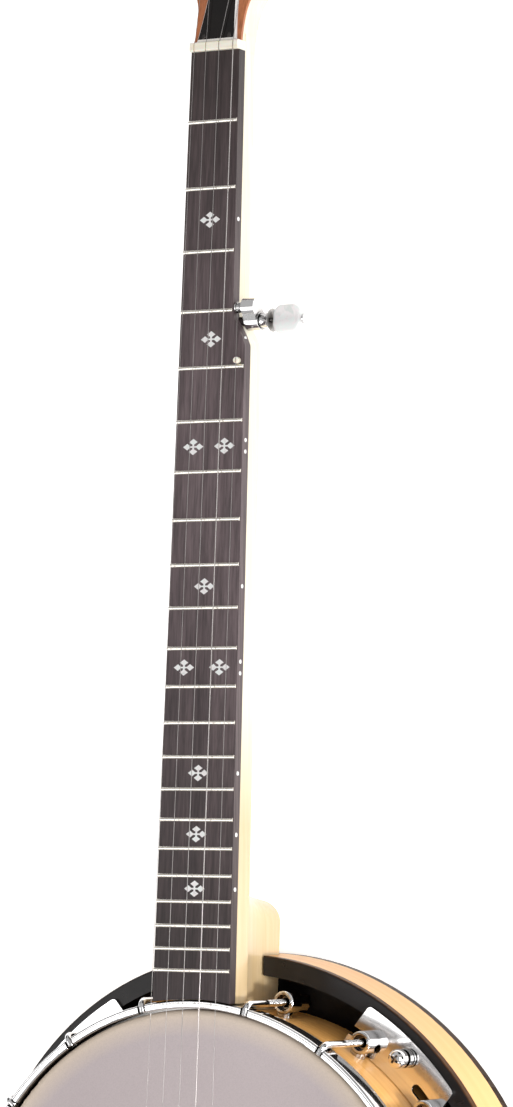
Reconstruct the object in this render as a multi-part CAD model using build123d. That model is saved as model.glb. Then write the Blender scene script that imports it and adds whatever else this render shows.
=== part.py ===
from build123d import *
import os
from math import asin, atan2, cos, degrees, pi, radians, sin, sqrt

# Five-string resonator banjo, left-handed: the short fifth string is on the +X side.
# Row frame in millimetres: origin at the centre of the resonator's flat back face,
# +Z out through the drum head, +Y up the neck, +X towards the fifth-string side.
# The pot's heights below are written as distances from the head's top plane.

os.makedirs("parts", exist_ok=True)

# ---------------------------------------------------------------- driving dimensions
HEAD_Z = 81.0            # head's top plane above the resonator's back face
SCALE = 666.75           # nut to bridge
FRET_COUNT = 22

# pot
RIM_R = 139.7            # 11 inch pot
RIM_WALL = 16.0
RIM_TOP = -5.4
RIM_BOTTOM = -66.0
TONE_R = 136.8           # centre line of the tone ring
TONE_WIRE_R = 2.97
HEAD_T = 0.4
HEAD_R = 140.2
COLLAR_DEPTH = 9.5
HOOP_IN, HOOP_OUT = 141.0, 145.2
HOOP_TOP, HOOP_BOTTOM = 2.0, -7.5
FLESH_OUT = 144.0
FLESH_BOTTOM = -11.0

# hooks, shoes and the short flange plates
HOOK_FIRST = 12.7        # degrees from the neck's centre line
HOOK_STEP = 19.68
HOOK_R = 147.3
HOOK_WIRE = 1.9          # radius of the plain shank
THREAD_R = 1.6
THREAD_START = -18.0
HOOK_END = -58.0
NOTCH_FLOOR = -1.4
NOTCH_EASE = 0.8          # extra depth at the notch's outer edge, under the hook's bend
SHOE_R = 6.0
SHOE_TOP, SHOE_BOTTOM = -34.0, -43.4
SHOE_WELL = 3.0          # depth of the round well in a shoe's front
BOLT_Z = -38.7
PLATE_T = 1.6
PLATE_OUT, PLATE_IN = 163.3, 140.0
PLATE_HALF = 32.9
PLATE_ANGLES = (40.5, 140.5, -140.5, -40.5)
SLOT_HALF = 2.6
PLATE_SCREW_R = 153.5

# resonator
RES_OUT, RES_IN = 167.8, 157.5
RES_TOP = SHOE_BOTTOM - PLATE_T
RES_FRONT_BAND = 4.6
RES_REAR_BAND = 7.0
RES_REAR_IN = 163.5
BACK_T = 3.5
NOTCH_HALF = 13.4
NOTCH_DEPTH = -62.4

# rods and tailpiece
ROD_Z = -28.0
LAG_Z = -48.0
STUD_R = 3.0
ROD_R = 4.75
TAIL_LEG_Y = -147.6
TAIL_PLATE_Z = HEAD_Z + 3.6
TAIL_PLATE_T = 1.4
TAIL_PIN_Y, TAIL_PIN_Z = -134.0, HEAD_Z + 9.4
TAIL_HOOK_Y = -126.0
TAIL_STEP = 5.4          # string spacing at the tailpiece
TAIL_SCREW_Y = -143.1
TAIL_STRING_Z = HEAD_Z + 6.4

# neck, in its own frame: origin at the nut, +Y to the peghead, +Z out of the fingerboard
NECK_ANGLE = 3.2
BOARD_END = 495.0        # nut to the end of the fingerboard, along the neck
BOARD_END_Y = 144.94
BOARD_END_Z = 4.0
NUT_X = -4.97
BOARD_T = 5.7
RAMP_START, RAMP_END = 138.0, 158.0
NUT_LEFT, NUT_RIGHT = -16.6, 13.2
NUT_LENGTH = 5.0
PEG_ANGLE = 11.0
PEG_T = 13.0
VENEER_T = 1.6
PEG_CENTRE = (NUT_LEFT + NUT_RIGHT) / 2
HEEL_CENTRE = -NUT_X
HEEL_TIP = -64.5
# heel slices: height, half width, front and length of the rounded front
HEEL_SLICES = (
    (-BOARD_T, 22.2, 377, 52),
    (-13, 21.4, 393, 40),
    (-21, 19.6, 415, 28),
    (-31, 15.6, 430, 19),
    (-44, 12.6, 438, 14),
    (HEEL_TIP, 12.4, 441, 12),
)
INLAY_FRETS = (3, 5, 7, 10, 12, 15, 17, 19)
PAIR_OFFSETS = {7: 9.6, 12: 10.9}
COVER_T = 1.7
COVER_BEVEL = 0.9
COVER_SCREWS = ((8.1, 2.6), (-7.6, 2.6), (0, 37))

# strings
STRING_R = (0.13, 0.15, 0.19, 0.28, 0.13)
BRIDGE_X, BRIDGE_Y = -1.8, -27.0
BRIDGE_H = 17.2          # string height over the head at the bridge
BRIDGE_CAP_T = 1.8
BRIDGE_STEP = 10.5
SLOT_EASE = 0.15         # room under a string where it bends over a slot
NUT_STRINGS = (-13.8, -6.5, 1.6, 10.3)    # where strings 1 to 4 cross the nut
PIP_X, PIP_D, PIP_R = 19.6, 164.2, 1.7
PIP_GROOVE = 2.0         # string height over the fingerboard at the pip
NUT_GROOVE = 1.5         # and at the nut
NUT_BEND = 3.4           # where the strings turn down over the nut

# tuners
POST_X = 16.0
POST_ROWS = (45.0, 98.0)
TUNER_PLACES = ((-1, POST_ROWS[0]), (-1, POST_ROWS[1]), (1, POST_ROWS[1]), (1, POST_ROWS[0]))
POST_R = 3.0
WORM_OFFSET = 6.9
WHEEL_R = 4.7
WORM_R = 1.9
WHEEL_TEETH = 14
BACK_FACE = -VENEER_T - PEG_T
CASE_DEPTH = 9.6
WHEEL_Z = BACK_FACE - 5.0

# fifth peg
FIFTH_MODULE = 0.46
SPOOL_TEETH, PINION_TEETH = 17, 17
FIFTH_AXES = FIFTH_MODULE * (SPOOL_TEETH + PINION_TEETH) / 2
SPOOL_D, SPOOL_Z = 136.0, -3.2
KNOB_Z = -7.0
KNOB_D = SPOOL_D + sqrt(FIFTH_AXES**2 - (SPOOL_Z - KNOB_Z) ** 2)
FIFTH_STUD_R = 2.6
REEL_MIDDLE = 17.95      # middle of the reel that takes the fifth string

NECK = Plane(
    origin=(
        NUT_X,
        BOARD_END_Y + BOARD_END * cos(radians(NECK_ANGLE)),
        HEAD_Z + BOARD_END_Z - BOARD_END * sin(radians(NECK_ANGLE)),
    ),
    x_dir=(1, 0, 0),
    z_dir=(0, sin(radians(NECK_ANGLE)), cos(radians(NECK_ANGLE))),
)
PEG_LOCAL = Plane(
    origin=(PEG_CENTRE, NUT_LENGTH, -1.5),
    x_dir=(1, 0, 0),
    z_dir=(0, sin(radians(PEG_ANGLE)), cos(radians(PEG_ANGLE))),
)
HOOK_ANGLES = [side * (HOOK_FIRST + HOOK_STEP * k) for k in range(9) for side in (1, -1)]
FLOOR_UP = (Align.CENTER, Align.CENTER, Align.MIN)


# ---------------------------------------------------------------- helpers
def save(name, *pieces):
    """Write one node; several pieces stay separate solids."""
    solids = [solid for piece in pieces for solid in piece.solids()]
    shape = solids[0] if len(solids) == 1 else Compound(solids)
    export_step(shape, f"parts/{name}.step")
    print(f"{name}: {len(solids)}")


def lathe(*points):
    """Turn a closed (radius, height) outline about the pot's axis."""
    return revolve(Plane.XZ * Polygon(*points, align=None), Axis.Z)


def ring(inner, outer, bottom, top):
    """Ring with its heights measured from the head plane."""
    return lathe(
        (inner, HEAD_Z + bottom), (outer, HEAD_Z + bottom), (outer, HEAD_Z + top), (inner, HEAD_Z + top)
    )


def drum(radius, bottom, top):
    """Solid cylinder on the pot's axis, heights from the head plane."""
    return Pos(0, 0, HEAD_Z + bottom) * Cylinder(radius, top - bottom, align=FLOOR_UP)


def around(angle, piece):
    """Turn a piece made on the +Y side to a clock angle about the pot."""
    return Rot(0, 0, -angle) * piece


def rod(start, end, radius):
    """Round bar between two points."""
    axis = Vector(*end) - Vector(*start)
    return Plane(origin=start, z_dir=axis) * Cylinder(radius, axis.length, align=FLOOR_UP)


def hex_bar(start, end, across):
    """Hexagonal bar between two points."""
    axis = Vector(*end) - Vector(*start)
    flat = RegularPolygon(across / 2, 6, major_radius=False)
    return Plane(origin=start, z_dir=axis) * extrude(flat, axis.length)


def gear(teeth, module, start_x, end_x, y, z, phase):
    """Spur gear about an axis parallel to X."""
    pitch_r = teeth * module / 2
    tip_r = pitch_r + 0.75 * module
    root_r = pitch_r - 1.15 * module
    pitch = 360 / teeth
    points = []
    for tooth in range(teeth):
        for radius, share in ((root_r, -0.26), (tip_r, -0.12), (tip_r, 0.12), (root_r, 0.26)):
            angle = radians(phase + (tooth + share) * pitch)
            points.append((radius * cos(angle), radius * sin(angle)))
    plane = Plane(origin=(start_x, y, z), x_dir=(0, 1, 0), z_dir=(1, 0, 0))
    return extrude(plane * Polygon(*points, align=None), end_x - start_x)


def right_edge(distance):
    """Fingerboard's fifth-string edge at a distance from the nut."""
    narrow = NUT_RIGHT + 0.0162 * distance
    wide = 20.86 + 0.01625 * distance
    share = min(max((distance - RAMP_START) / (RAMP_END - RAMP_START), 0), 1)
    blend = share * share * (3 - 2 * share)
    return narrow + (wide - narrow) * blend


def left_edge(distance):
    """Fingerboard's first-string edge at a distance from the nut."""
    return NUT_LEFT - 0.003 * distance


def fret_distance(number):
    """Equal-tempered fret position from the nut."""
    return SCALE * (1 - 2 ** (-number / 12))


def space_middle(number):
    """Middle of the space behind a fret."""
    return (fret_distance(number - 1) + fret_distance(number)) / 2


def board_middle(distance):
    """Middle of the fingerboard across its width."""
    return (left_edge(distance) + right_edge(distance)) / 2


# ---------------------------------------------------------------- pot
def make_rim():
    """Laminated maple rim with its seat for the tone ring and its holes."""
    rim = ring(RIM_R - RIM_WALL, RIM_R, RIM_BOTTOM, RIM_TOP)
    seat = Pos(0, 0, HEAD_Z - HEAD_T - 3.0) * Torus(TONE_R, 3.05)
    holes = [
        around(angle, rod((0, 118, HEAD_Z + BOLT_Z), (0, 145, HEAD_Z + BOLT_Z), 2.3))
        for angle in HOOK_ANGLES
    ]
    holes += [
        rod((0, 118, HEAD_Z + height), (0, 145, HEAD_Z + height), STUD_R + 0.2)
        for height in (ROD_Z, LAG_Z)
    ]
    holes.append(rod((0, -145, HEAD_Z + ROD_Z), (0, -118, HEAD_Z + ROD_Z), STUD_R + 0.2))
    rim = chamfer(rim.edges().group_by(Axis.Z)[0], 1.2)
    return rim - seat - holes


def make_head():
    """Frosted drum head: a thin cap whose collar runs down into the flesh hoop."""
    outside = drum(HEAD_R, -COLLAR_DEPTH, 0)
    outside = fillet(outside.edges().group_by(Axis.Z)[-1], 3.4)
    inside = drum(HEAD_R - HEAD_T, -COLLAR_DEPTH, -HEAD_T)
    inside = fillet(inside.edges().group_by(Axis.Z)[-1], 3.0)
    return outside - inside


def make_flesh_hoop():
    """Channel ring that grips the head's collar."""
    hoop = ring(RIM_R + 0.1, FLESH_OUT, FLESH_BOTTOM, HOOP_BOTTOM)
    return hoop - ring(RIM_R, HEAD_R + 0.02, -COLLAR_DEPTH - 0.02, 0)


def make_tension_hoop():
    """Rounded hoop with one notch for each hook."""
    middle = (HOOP_IN + HOOP_OUT) / 2
    section = Pos(middle, HEAD_Z + (HOOP_TOP + HOOP_BOTTOM) / 2) * RectangleRounded(
        HOOP_OUT - HOOP_IN, HOOP_TOP - HOOP_BOTTOM, 1.0
    )
    hoop = revolve(Plane.XZ * section, Axis.Z) - ring(middle + 0.2, middle + 0.8, HOOP_TOP - 0.4, HOOP_TOP + 1)
    notch = Pos(0, middle, HEAD_Z + NOTCH_FLOOR) * Box(4.6, 8, 5, align=FLOOR_UP)
    notch += Pos(0, HOOP_OUT, HEAD_Z + NOTCH_FLOOR - NOTCH_EASE) * Box(4.6, 2.6, 5, align=FLOOR_UP)
    return hoop - [around(angle, notch) for angle in HOOK_ANGLES]


def make_hook():
    """Round hook: claw over the hoop, plain shank and thinner threaded end."""
    claw_z = HEAD_Z + NOTCH_FLOOR + HOOK_WIRE + 0.05
    path = FilletPolyline(
        (0, HOOP_IN + 0.2, claw_z), (0, HOOK_R, claw_z), (0, HOOK_R, HEAD_Z + THREAD_START), radius=3.2
    )
    hook = sweep(Plane(origin=path @ 0, z_dir=path % 0) * Circle(HOOK_WIRE), path)
    hook = chamfer(hook.edges().group_by(Axis.Y)[0], 0.5)
    return hook + rod((0, HOOK_R, HEAD_Z + HOOK_END), (0, HOOK_R, HEAD_Z + THREAD_START), THREAD_R)


def make_shoe():
    """Barrel shoe: counterbored front, bore for the hook and a stem against the rim."""
    low, high = HEAD_Z + SHOE_BOTTOM, HEAD_Z + SHOE_TOP
    barrel = rod((0, HOOK_R, low), (0, HOOK_R, high), SHOE_R)
    barrel = fillet(barrel.edges().group_by(Axis.Z)[-1], 0.8)
    stem = rod((0, RIM_R - 2, HEAD_Z + BOLT_Z), (0, HOOK_R, HEAD_Z + BOLT_Z), 4.3)
    shoe = barrel + stem - rod((0, HOOK_R, low), (0, HOOK_R, high), 2.5)
    shoe -= rod((0, HOOK_R, high - SHOE_WELL), (0, HOOK_R, high + 1), 4.2)
    shoe -= rod((0, RIM_R - 3, HEAD_Z + BOLT_Z), (0, 143.4, HEAD_Z + BOLT_Z), 2.05)
    return shoe - drum(RIM_R + 0.02, -60, 0)


def make_shoe_bolt():
    """Pan-head bolt from inside the rim into the shoe."""
    height = HEAD_Z + BOLT_Z
    inner = RIM_R - RIM_WALL
    head = rod((0, inner - 3.2, height), (0, inner - 0.2, height), 4.6)
    return head + rod((0, inner - 0.2, height), (0, 143.0, height), 2.0)


def make_hook_nut(top):
    """Long hexagonal nut that pulls a hook down."""
    start = (0, HOOK_R, HEAD_Z + top - 12)
    end = (0, HOOK_R, HEAD_Z + top)
    return hex_bar(start, end, 8.0) - rod(start, end, THREAD_R + 0.05)


def under_plate(angle):
    """True for a hook that passes through a flange plate."""
    return any(abs(angle - plate) < degrees(asin(PLATE_HALF / HOOK_R)) for plate in PLATE_ANGLES)


def make_plate():
    """Short flange plate with open-ended slots for two hooks and one screw hole."""
    outline = (Circle(PLATE_OUT) - Circle(PLATE_IN)) & (Pos(0, 150) * Rectangle(2 * PLATE_HALF, 60))
    corners = outline.vertices().filter_by_position(Axis.Y, 159, 161)
    outline = fillet(corners, 2.5)
    hook_band = Circle(HOOK_R + SLOT_HALF) - Circle(HOOK_R - SLOT_HALF)
    for side in (1, -1):
        end_x = HOOK_R * sin(radians(6.1))
        end_y = HOOK_R * cos(radians(6.1))
        outline -= hook_band & (Pos(side * (end_x + 30), HOOK_R) * Rectangle(60, 30))
        outline -= Pos(side * end_x, end_y) * Circle(SLOT_HALF)
    outline -= Pos(0, PLATE_SCREW_R) * Circle(2.7)
    return Pos(0, 0, HEAD_Z + RES_TOP) * extrude(outline, PLATE_T)


def make_pot():
    """Save every piece of the drum."""
    save("rim", make_rim())
    save("tone_ring", Pos(0, 0, HEAD_Z - HEAD_T - 3.0) * Torus(TONE_R, TONE_WIRE_R))
    save("drum_head", make_head())
    save("flesh_hoop", make_flesh_hoop())
    save("tension_hoop", make_tension_hoop())
    hook, shoe, bolt = make_hook(), make_shoe(), make_shoe_bolt()
    high_nut, low_nut = make_hook_nut(SHOE_BOTTOM), make_hook_nut(RES_TOP)
    save("bracket_hooks", *[around(angle, hook) for angle in HOOK_ANGLES])
    save("bracket_shoes", *[around(angle, shoe) for angle in HOOK_ANGLES])
    save("shoe_bolts", *[around(angle, bolt) for angle in HOOK_ANGLES])
    save("hook_nuts", *[around(a, low_nut if under_plate(a) else high_nut) for a in HOOK_ANGLES])
    plate = make_plate()
    for number, angle in enumerate(PLATE_ANGLES, 1):
        save(f"flange_plate_{number}", around(angle, plate))


# ---------------------------------------------------------------- resonator
def make_lug():
    """Threaded block on the resonator's inner wall that takes one resonator screw."""
    top = HEAD_Z + RES_TOP
    block = Pos(0, 152, top) * Box(22, 14, 12, align=(Align.CENTER, Align.CENTER, Align.MAX))
    block = fillet(block.edges().filter_by(Axis.Z).group_by(Axis.Y)[0], 3)
    block &= drum(RES_IN - 0.05, RIM_BOTTOM, 0)
    return block - rod((0, PLATE_SCREW_R, top - 10), (0, PLATE_SCREW_R, top), 2.05)


def make_resonator_screw():
    """Cross-recess dome screw with a collar, and the washer under it."""
    y = PLATE_SCREW_R
    plate_top = HEAD_Z + SHOE_BOTTOM
    washer = rod((0, y, plate_top), (0, y, plate_top + 1.4), 5.0)
    washer -= rod((0, y, plate_top), (0, y, plate_top + 1.4), 2.5)
    neck_z, dome_z = plate_top + 1.4, plate_top + 5.6
    head = rod((0, y, neck_z), (0, y, dome_z), 3.2) + rod((0, y, neck_z + 2), (0, y, neck_z + 3), 4.6)
    dome = Pos(0, y, dome_z) * Cylinder(5.0, 4.2, align=FLOOR_UP)
    dome = fillet(dome.edges().group_by(Axis.Z)[-1], 3.4)
    recess = Box(5.0, 1.2, 2.2) + Box(1.2, 5.0, 2.2)
    head = head + dome - Pos(0, y, dome_z + 4.2) * recess
    return head + rod((0, y, plate_top - 8.5), (0, y, neck_z), 2.0), washer


def make_resonator():
    """Save the resonator's wall, back, edge bands, lugs and screws."""
    bottom = -HEAD_Z
    notch = Pos(0, 162, HEAD_Z + NOTCH_DEPTH) * Box(2 * NOTCH_HALF, 24, 60, align=FLOOR_UP)
    wall_top = RES_TOP - RES_FRONT_BAND
    wall = ring(RES_IN, RES_OUT, bottom + RES_REAR_BAND, wall_top)
    wall += ring(RES_IN, RES_REAR_IN, bottom + BACK_T, bottom + RES_REAR_BAND)
    save("resonator_wall", wall - notch)
    front = ring(RES_IN, RES_OUT, wall_top, RES_TOP)
    front = fillet(front.edges().group_by(Axis.Z)[-1].sort_by(SortBy.RADIUS)[-1:], 1.0)
    save("resonator_front_binding", front - notch)
    rear = ring(RES_REAR_IN, RES_OUT, bottom, bottom + RES_REAR_BAND)
    rear = fillet(rear.edges().group_by(Axis.Z)[0].sort_by(SortBy.RADIUS)[-1:], 2.2)
    save("resonator_rear_binding", rear)
    save("resonator_back", drum(RES_REAR_IN, bottom, bottom + BACK_T))
    lug = make_lug()
    screw, washer = make_resonator_screw()
    save("resonator_lugs", *[around(angle, lug) for angle in PLATE_ANGLES])
    save("resonator_screws", *[around(angle, screw) for angle in PLATE_ANGLES])
    save("resonator_washers", *[around(angle, washer) for angle in PLATE_ANGLES])


# ---------------------------------------------------------------- rods and tailpiece
def make_saddle(side, height):
    """Washer block curved to the rim's inside, and the hexagonal nut against it."""
    inner = RIM_R - RIM_WALL
    block = Pos(0, side * (inner - 2), height) * Box(18, 5, 14)
    block &= Cylinder(inner - 0.02, 400)
    return block - rod((0, side * 100, height), (0, side * 140, height), STUD_R + 0.2)


def make_rods():
    """Save the coordinator rod, the neck's hanger bolts and their nuts."""
    rod_height, lag_height = HEAD_Z + ROD_Z, HEAD_Z + LAG_Z
    rod_end = RIM_R - RIM_WALL - 4.5
    body = rod((0, -rod_end, rod_height), (0, rod_end, rod_height), ROD_R)
    for side in (1, -1):
        body -= rod((0, side * (rod_end - 17), rod_height), (0, side * rod_end, rod_height), STUD_R + 0.05)
    body -= rod((-10, 0, rod_height), (10, 0, rod_height), 2.0)
    save("coordinator_rod", body)
    upper = rod((0, rod_end - 16, rod_height), (0, 182, rod_height), STUD_R)
    lower = rod((0, rod_end - 10, lag_height), (0, 182, lag_height), STUD_R)
    save("hanger_bolts", upper, lower)
    nut = hex_bar((0, rod_end - 5, lag_height), (0, rod_end, lag_height), 11)
    nut -= rod((0, rod_end - 5, lag_height), (0, rod_end, lag_height), STUD_R + 0.05)
    save("rod_nuts", make_saddle(1, rod_height), make_saddle(1, lag_height), make_saddle(-1, rod_height), nut)


def make_tailpiece():
    """Save the tailpiece's base, hinged lid, pin, pressure screw and fixing bolt."""
    rod_height = HEAD_Z + ROD_Z
    plate_top = TAIL_PLATE_Z + TAIL_PLATE_T
    leg_low = rod_height - 8
    leg = Pos(0, TAIL_LEG_Y - 0.8, leg_low) * Box(20, 1.6, plate_top - leg_low, align=FLOOR_UP)
    back_y, front_y = TAIL_LEG_Y - 1.6, -98
    plate = Box(34, front_y - back_y, TAIL_PLATE_T, align=FLOOR_UP)
    plate = Pos(0, (back_y + front_y) / 2, TAIL_PLATE_Z) * plate
    plate = fillet(plate.edges().filter_by(Axis.Z), 4)
    base = plate + leg
    for side in (1, -1):
        ear = Pos(side * 16.25, TAIL_PIN_Y, plate_top) * Box(1.5, 6, 6.4, align=FLOOR_UP)
        base += fillet(ear.edges().filter_by(Axis.X).group_by(Axis.Z)[-1], 2.6)
    for number in range(5):
        x = (number - 2) * TAIL_STEP
        base += rod((x, TAIL_HOOK_Y, plate_top), (x, TAIL_HOOK_Y, plate_top + 3.4), 0.9)
    base -= rod((-20, TAIL_PIN_Y, TAIL_PIN_Z), (20, TAIL_PIN_Y, TAIL_PIN_Z), 1.02)
    base -= rod((0, TAIL_SCREW_Y, HEAD_Z), (0, TAIL_SCREW_Y, HEAD_Z + 12), 1.56)
    base -= rod((0, -152, rod_height), (0, -145, rod_height), STUD_R + 0.2)
    save("tailpiece_base", base)

    lid_low, lid_high = HEAD_Z + 10.4, HEAD_Z + 11.7
    lid_y0, lid_y1 = TAIL_PIN_Y - 1.2, -101.0
    lid = Box(30, lid_y1 - lid_y0, lid_high - lid_low, align=FLOOR_UP)
    lid = Pos(0, (lid_y0 + lid_y1) / 2, lid_low) * lid
    lid = fillet(lid.edges().filter_by(Axis.Z).group_by(Axis.Y)[-1], 6)
    for side in (1, -1):
        skirt_y = (TAIL_PIN_Y + 4 - 108) / 2
        lid += Pos(side * 14.4, skirt_y, HEAD_Z + 6.6) * Box(1.2, 22, 4.2, align=FLOOR_UP)
    lid += rod((-15, TAIL_PIN_Y, TAIL_PIN_Z), (15, TAIL_PIN_Y, TAIL_PIN_Z), 2.0)
    lid -= rod((-16, TAIL_PIN_Y, TAIL_PIN_Z), (16, TAIL_PIN_Y, TAIL_PIN_Z), 1.06)
    save("tailpiece_lid", lid)
    save("tailpiece_hinge_pin", rod((-17.6, TAIL_PIN_Y, TAIL_PIN_Z), (17.6, TAIL_PIN_Y, TAIL_PIN_Z), 1.0))

    shank = rod((0, TAIL_SCREW_Y, HEAD_Z + HOOP_TOP + 0.3), (0, TAIL_SCREW_Y, HEAD_Z + 8), 1.5)
    knob = RegularPolygon(4.2, 18)
    knob = Pos(0, TAIL_SCREW_Y, HEAD_Z + 7) * extrude(knob, 3.2)
    slot = Pos(0, TAIL_SCREW_Y, HEAD_Z + 10.2) * Box(10, 1, 1.6)
    save("tailpiece_screw", shank + knob - slot)

    bolt = rod((0, -105, rod_height), (0, -156, rod_height), STUD_R)
    spacer = rod((0, TAIL_LEG_Y, rod_height), (0, -138, rod_height), 5.5) - drum(RIM_R + 0.02, -60, 0)
    spacer -= rod((0, -150, rod_height), (0, -130, rod_height), STUD_R + 0.05)
    nut_start = (0, TAIL_LEG_Y - 1.6, rod_height)
    nut_end = (0, TAIL_LEG_Y - 6.6, rod_height)
    nut = hex_bar(nut_start, nut_end, 10) - rod(nut_start, nut_end, STUD_R + 0.05)
    save("tailpiece_bolt", bolt, spacer, nut)


# ---------------------------------------------------------------- bridge and strings
def bridge_x(number):
    """String spacing at the bridge, string 1 on the -X side."""
    return BRIDGE_X + (number - 2) * BRIDGE_STEP


def make_bridge():
    """Save the three-footed maple bridge and its ebony cap."""
    top = BRIDGE_H - 1.2
    outline = Polygon((-42, 0), (42, 0), (42, 2.4), (25, top), (-25, top), (-42, 2.4), align=None)
    for side in (1, -1):
        outline -= Pos(side * 20.5, 0) * Ellipse(15.5, 8.5)
        outline -= Pos(side * 16, top - 3) * SlotOverall(13, 2.2)
    plane = Plane(origin=(BRIDGE_X, BRIDGE_Y + 2.3, HEAD_Z), x_dir=(1, 0, 0), z_dir=(0, -1, 0))
    save("bridge", extrude(plane * outline, 4.6))
    cap = Pos(BRIDGE_X, BRIDGE_Y, HEAD_Z + top) * Box(50, 2.8, BRIDGE_CAP_T, align=FLOOR_UP)
    for number, radius in enumerate(STRING_R):
        slot = Pos(bridge_x(number), BRIDGE_Y, HEAD_Z + BRIDGE_H - SLOT_EASE)
        cap -= slot * Box(2 * radius + 0.1, 4, 2, align=FLOOR_UP)
    save("bridge_cap", cap)


def row_point(plane, x, y, z):
    """Local point of a plane as a row-frame tuple."""
    return tuple(plane.from_local_coords(Vector(x, y, z)))


def peg_plane():
    """Peghead's face plane in the row frame."""
    return Plane(NECK.location * PEG_LOCAL.location)


def string_path(number):
    """Tail hook, bridge, nut and the end beside the post, as row-frame points."""
    radius = STRING_R[number]
    tail = ((number - 2) * TAIL_STEP, TAIL_HOOK_Y + 1.3, TAIL_STRING_Z)
    saddle = (bridge_x(number), BRIDGE_Y, HEAD_Z + BRIDGE_H + radius)
    if number == 4:
        stop = row_point(NECK, PIP_X, -PIP_D, PIP_GROOVE + radius)
        end = row_point(NECK, REEL_MIDDLE, -SPOOL_D - 3.4, SPOOL_Z + 2.9 + radius)
        return tail, saddle, stop, end
    stop = row_point(NECK, NUT_STRINGS[number], NUT_BEND, NUT_GROOVE + radius)
    side, post_y = TUNER_PLACES[number]
    end = row_point(peg_plane(), side * (POST_X - POST_R - 0.5), post_y - 3.2, 5.0)
    return tail, saddle, stop, end


def make_strings():
    """Save the five strings, each one taut from its loop to its post."""
    for number, radius in enumerate(STRING_R):
        path = string_path(number)
        pieces = [rod(start, end, radius) for start, end in zip(path, path[1:])]
        pieces += [Pos(*point) * Sphere(radius) for point in path[1:-1]]
        loop_x, loop_y = path[0][0], TAIL_HOOK_Y
        pieces.append(Pos(loop_x, loop_y, TAIL_STRING_Z) * Torus(1.3, radius))
        string = pieces[0]
        for piece in pieces[1:]:
            string += piece
        save(f"string_{number + 1}", string)


# ---------------------------------------------------------------- neck
def shaft_section(distance):
    """D-shaped section of the neck under the fingerboard."""
    left, right = left_edge(distance), right_edge(distance)
    middle, half = (left + right) / 2, (right - left) / 2
    depth = 14.3 + 0.006 * max(distance, 0)
    top = -BOARD_T
    curve = Spline(
        (left, top),
        (middle - 0.80 * half, top - 0.72 * depth),
        (middle, top - depth),
        (middle + 0.80 * half, top - 0.72 * depth),
        (right, top),
        tangents=((0, -1), (0, 1)),
    )
    return Plane.XZ.offset(distance) * make_face([curve, Line((right, top), (left, top))])


def heel_section(height, half, front, round_length):
    """U-shaped slice of the heel, parallel to the fingerboard."""
    back_y, side_y = -BOARD_END - 8, -front - round_length
    left, right = HEEL_CENTRE - half, HEEL_CENTRE + half
    nose = Spline(
        (right, side_y),
        (HEEL_CENTRE + 0.74 * half, -front - 0.33 * round_length),
        (HEEL_CENTRE, -front),
        (HEEL_CENTRE - 0.74 * half, -front - 0.33 * round_length),
        (left, side_y),
        tangents=((0, 1), (0, -1)),
    )
    sides = [Line((left, back_y), (right, back_y)), Line((right, back_y), (right, side_y))]
    sides += [nose, Line((left, side_y), (left, back_y))]
    return Pos(0, 0, height) * make_face(sides)


def peghead_outline():
    """Flared peghead outline in its own plane."""
    throat = ((14.4, 12), (16.2, 23), (22.5, 35), (28.5, 46), (31.0, 62))
    crown = ((28.0, 80), (30.5, 104), (27.0, 126), (14.0, 137), (0, 143))
    right = Spline((NUT_RIGHT - PEG_CENTRE, -3), *throat, *crown)
    left = mirror(right, Plane.YZ)
    base = Line(right @ 0, left @ 0)
    return make_face([right, left, base])


def make_neck():
    """One-piece maple neck: shaft, heel and angled peghead."""
    stations = [-9, 40, 90, RAMP_START, 142, 145, 148, 151, 154, RAMP_END, 250, 340, 430, 505]
    shaft = loft([shaft_section(distance) for distance in stations], ruled=True)
    heel = loft([heel_section(*slice_) for slice_ in HEEL_SLICES])
    blade = PEG_LOCAL * extrude(Pos(0, 0, -VENEER_T) * peghead_outline(), -PEG_T)
    neck = shaft + heel + blade
    neck -= above_nut_seat()
    neck -= truss_channel()
    for side in (1, -1):
        for row in POST_ROWS:
            neck -= PEG_LOCAL * rod((side * POST_X, row, -20), (side * POST_X, row, 2), 4.0)
    neck -= stud_bore()
    neck = NECK * neck
    neck -= drum(RIM_R + 0.02, -80, 0)
    neck -= drum(HOOP_OUT + 0.6, FLESH_BOTTOM - 1.2, 30)
    for height in (ROD_Z, LAG_Z):
        neck -= rod((0, 130, HEAD_Z + height), (0, 182.2, HEAD_Z + height), STUD_R + 0.02)
    return neck


def stud_bore():
    """Hole in the neck's side for the fifth peg's stud."""
    return rod((4, -KNOB_D, KNOB_Z), (30, -KNOB_D, KNOB_Z), FIFTH_STUD_R + 0.02)


def above_nut_seat():
    """Space over the nut's seat and the fingerboard's glue line."""
    return Pos(0, NUT_LENGTH, -BOARD_T) * Box(80, 30, 12, align=(Align.CENTER, Align.MAX, Align.MIN))


def truss_channel():
    """Slot under the fingerboard and the pocket at the peghead for the truss rod."""
    slot = Pos(0, 0, -BOARD_T) * Box(6, 420, 9.6, align=(Align.CENTER, Align.MAX, Align.MAX))
    slot = Pos(0, 6, 0) * slot
    pocket = Pos(0, NUT_LENGTH, -BOARD_T + 6) * Box(9, 19, 15.6, align=(Align.CENTER, Align.MIN, Align.MAX))
    return slot + pocket


def make_inlay():
    """Diamond of four pointed petals on a small cross, long across the board."""
    across = Polygon((1.4, 0), (3.7, -1.75), (6.3, 0), (3.7, 1.75), align=None)
    along = Polygon((0, 0.9), (2.6, 2.5), (0, 4.25), (-2.6, 2.5), align=None)
    shape = Rectangle(3.4, 0.8) + Rectangle(1.1, 3.4)
    for turn in (0, 180):
        shape += Rot(0, 0, turn) * across + Rot(0, 0, turn) * along
    return Pos(0, 0, -0.9) * extrude(shape, 0.9)


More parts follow.
